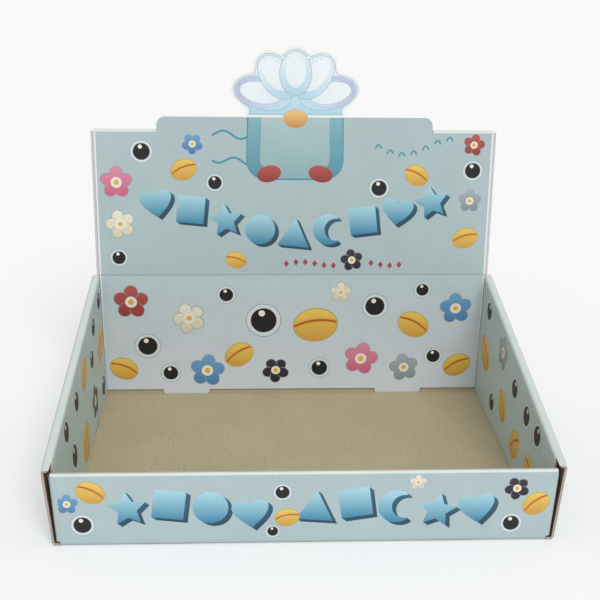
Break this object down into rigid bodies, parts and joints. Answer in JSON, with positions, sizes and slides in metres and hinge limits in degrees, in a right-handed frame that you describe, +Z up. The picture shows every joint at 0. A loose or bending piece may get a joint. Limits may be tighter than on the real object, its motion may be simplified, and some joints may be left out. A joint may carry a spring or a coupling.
{
  "type": "counter display box",
  "caption": "Open counter display tray folded from one sheet of fluted board, with rolled walls, sloping sides and a tall header with a cut-out topper.",
  "frame": {"origin": "middle of the tray's underside, on the surface it stands on", "axes": "+X to the right seen from the front, +Y to the back, +Z up"},
  "size_m": [0.3278, 0.2374, 0.2818],
  "materials": {
    "printed_board": "litho print with a light gloss"
  },
  "bodies": {
    "root": {"display_box": "printed_board"}
  },
  "joints": []
}
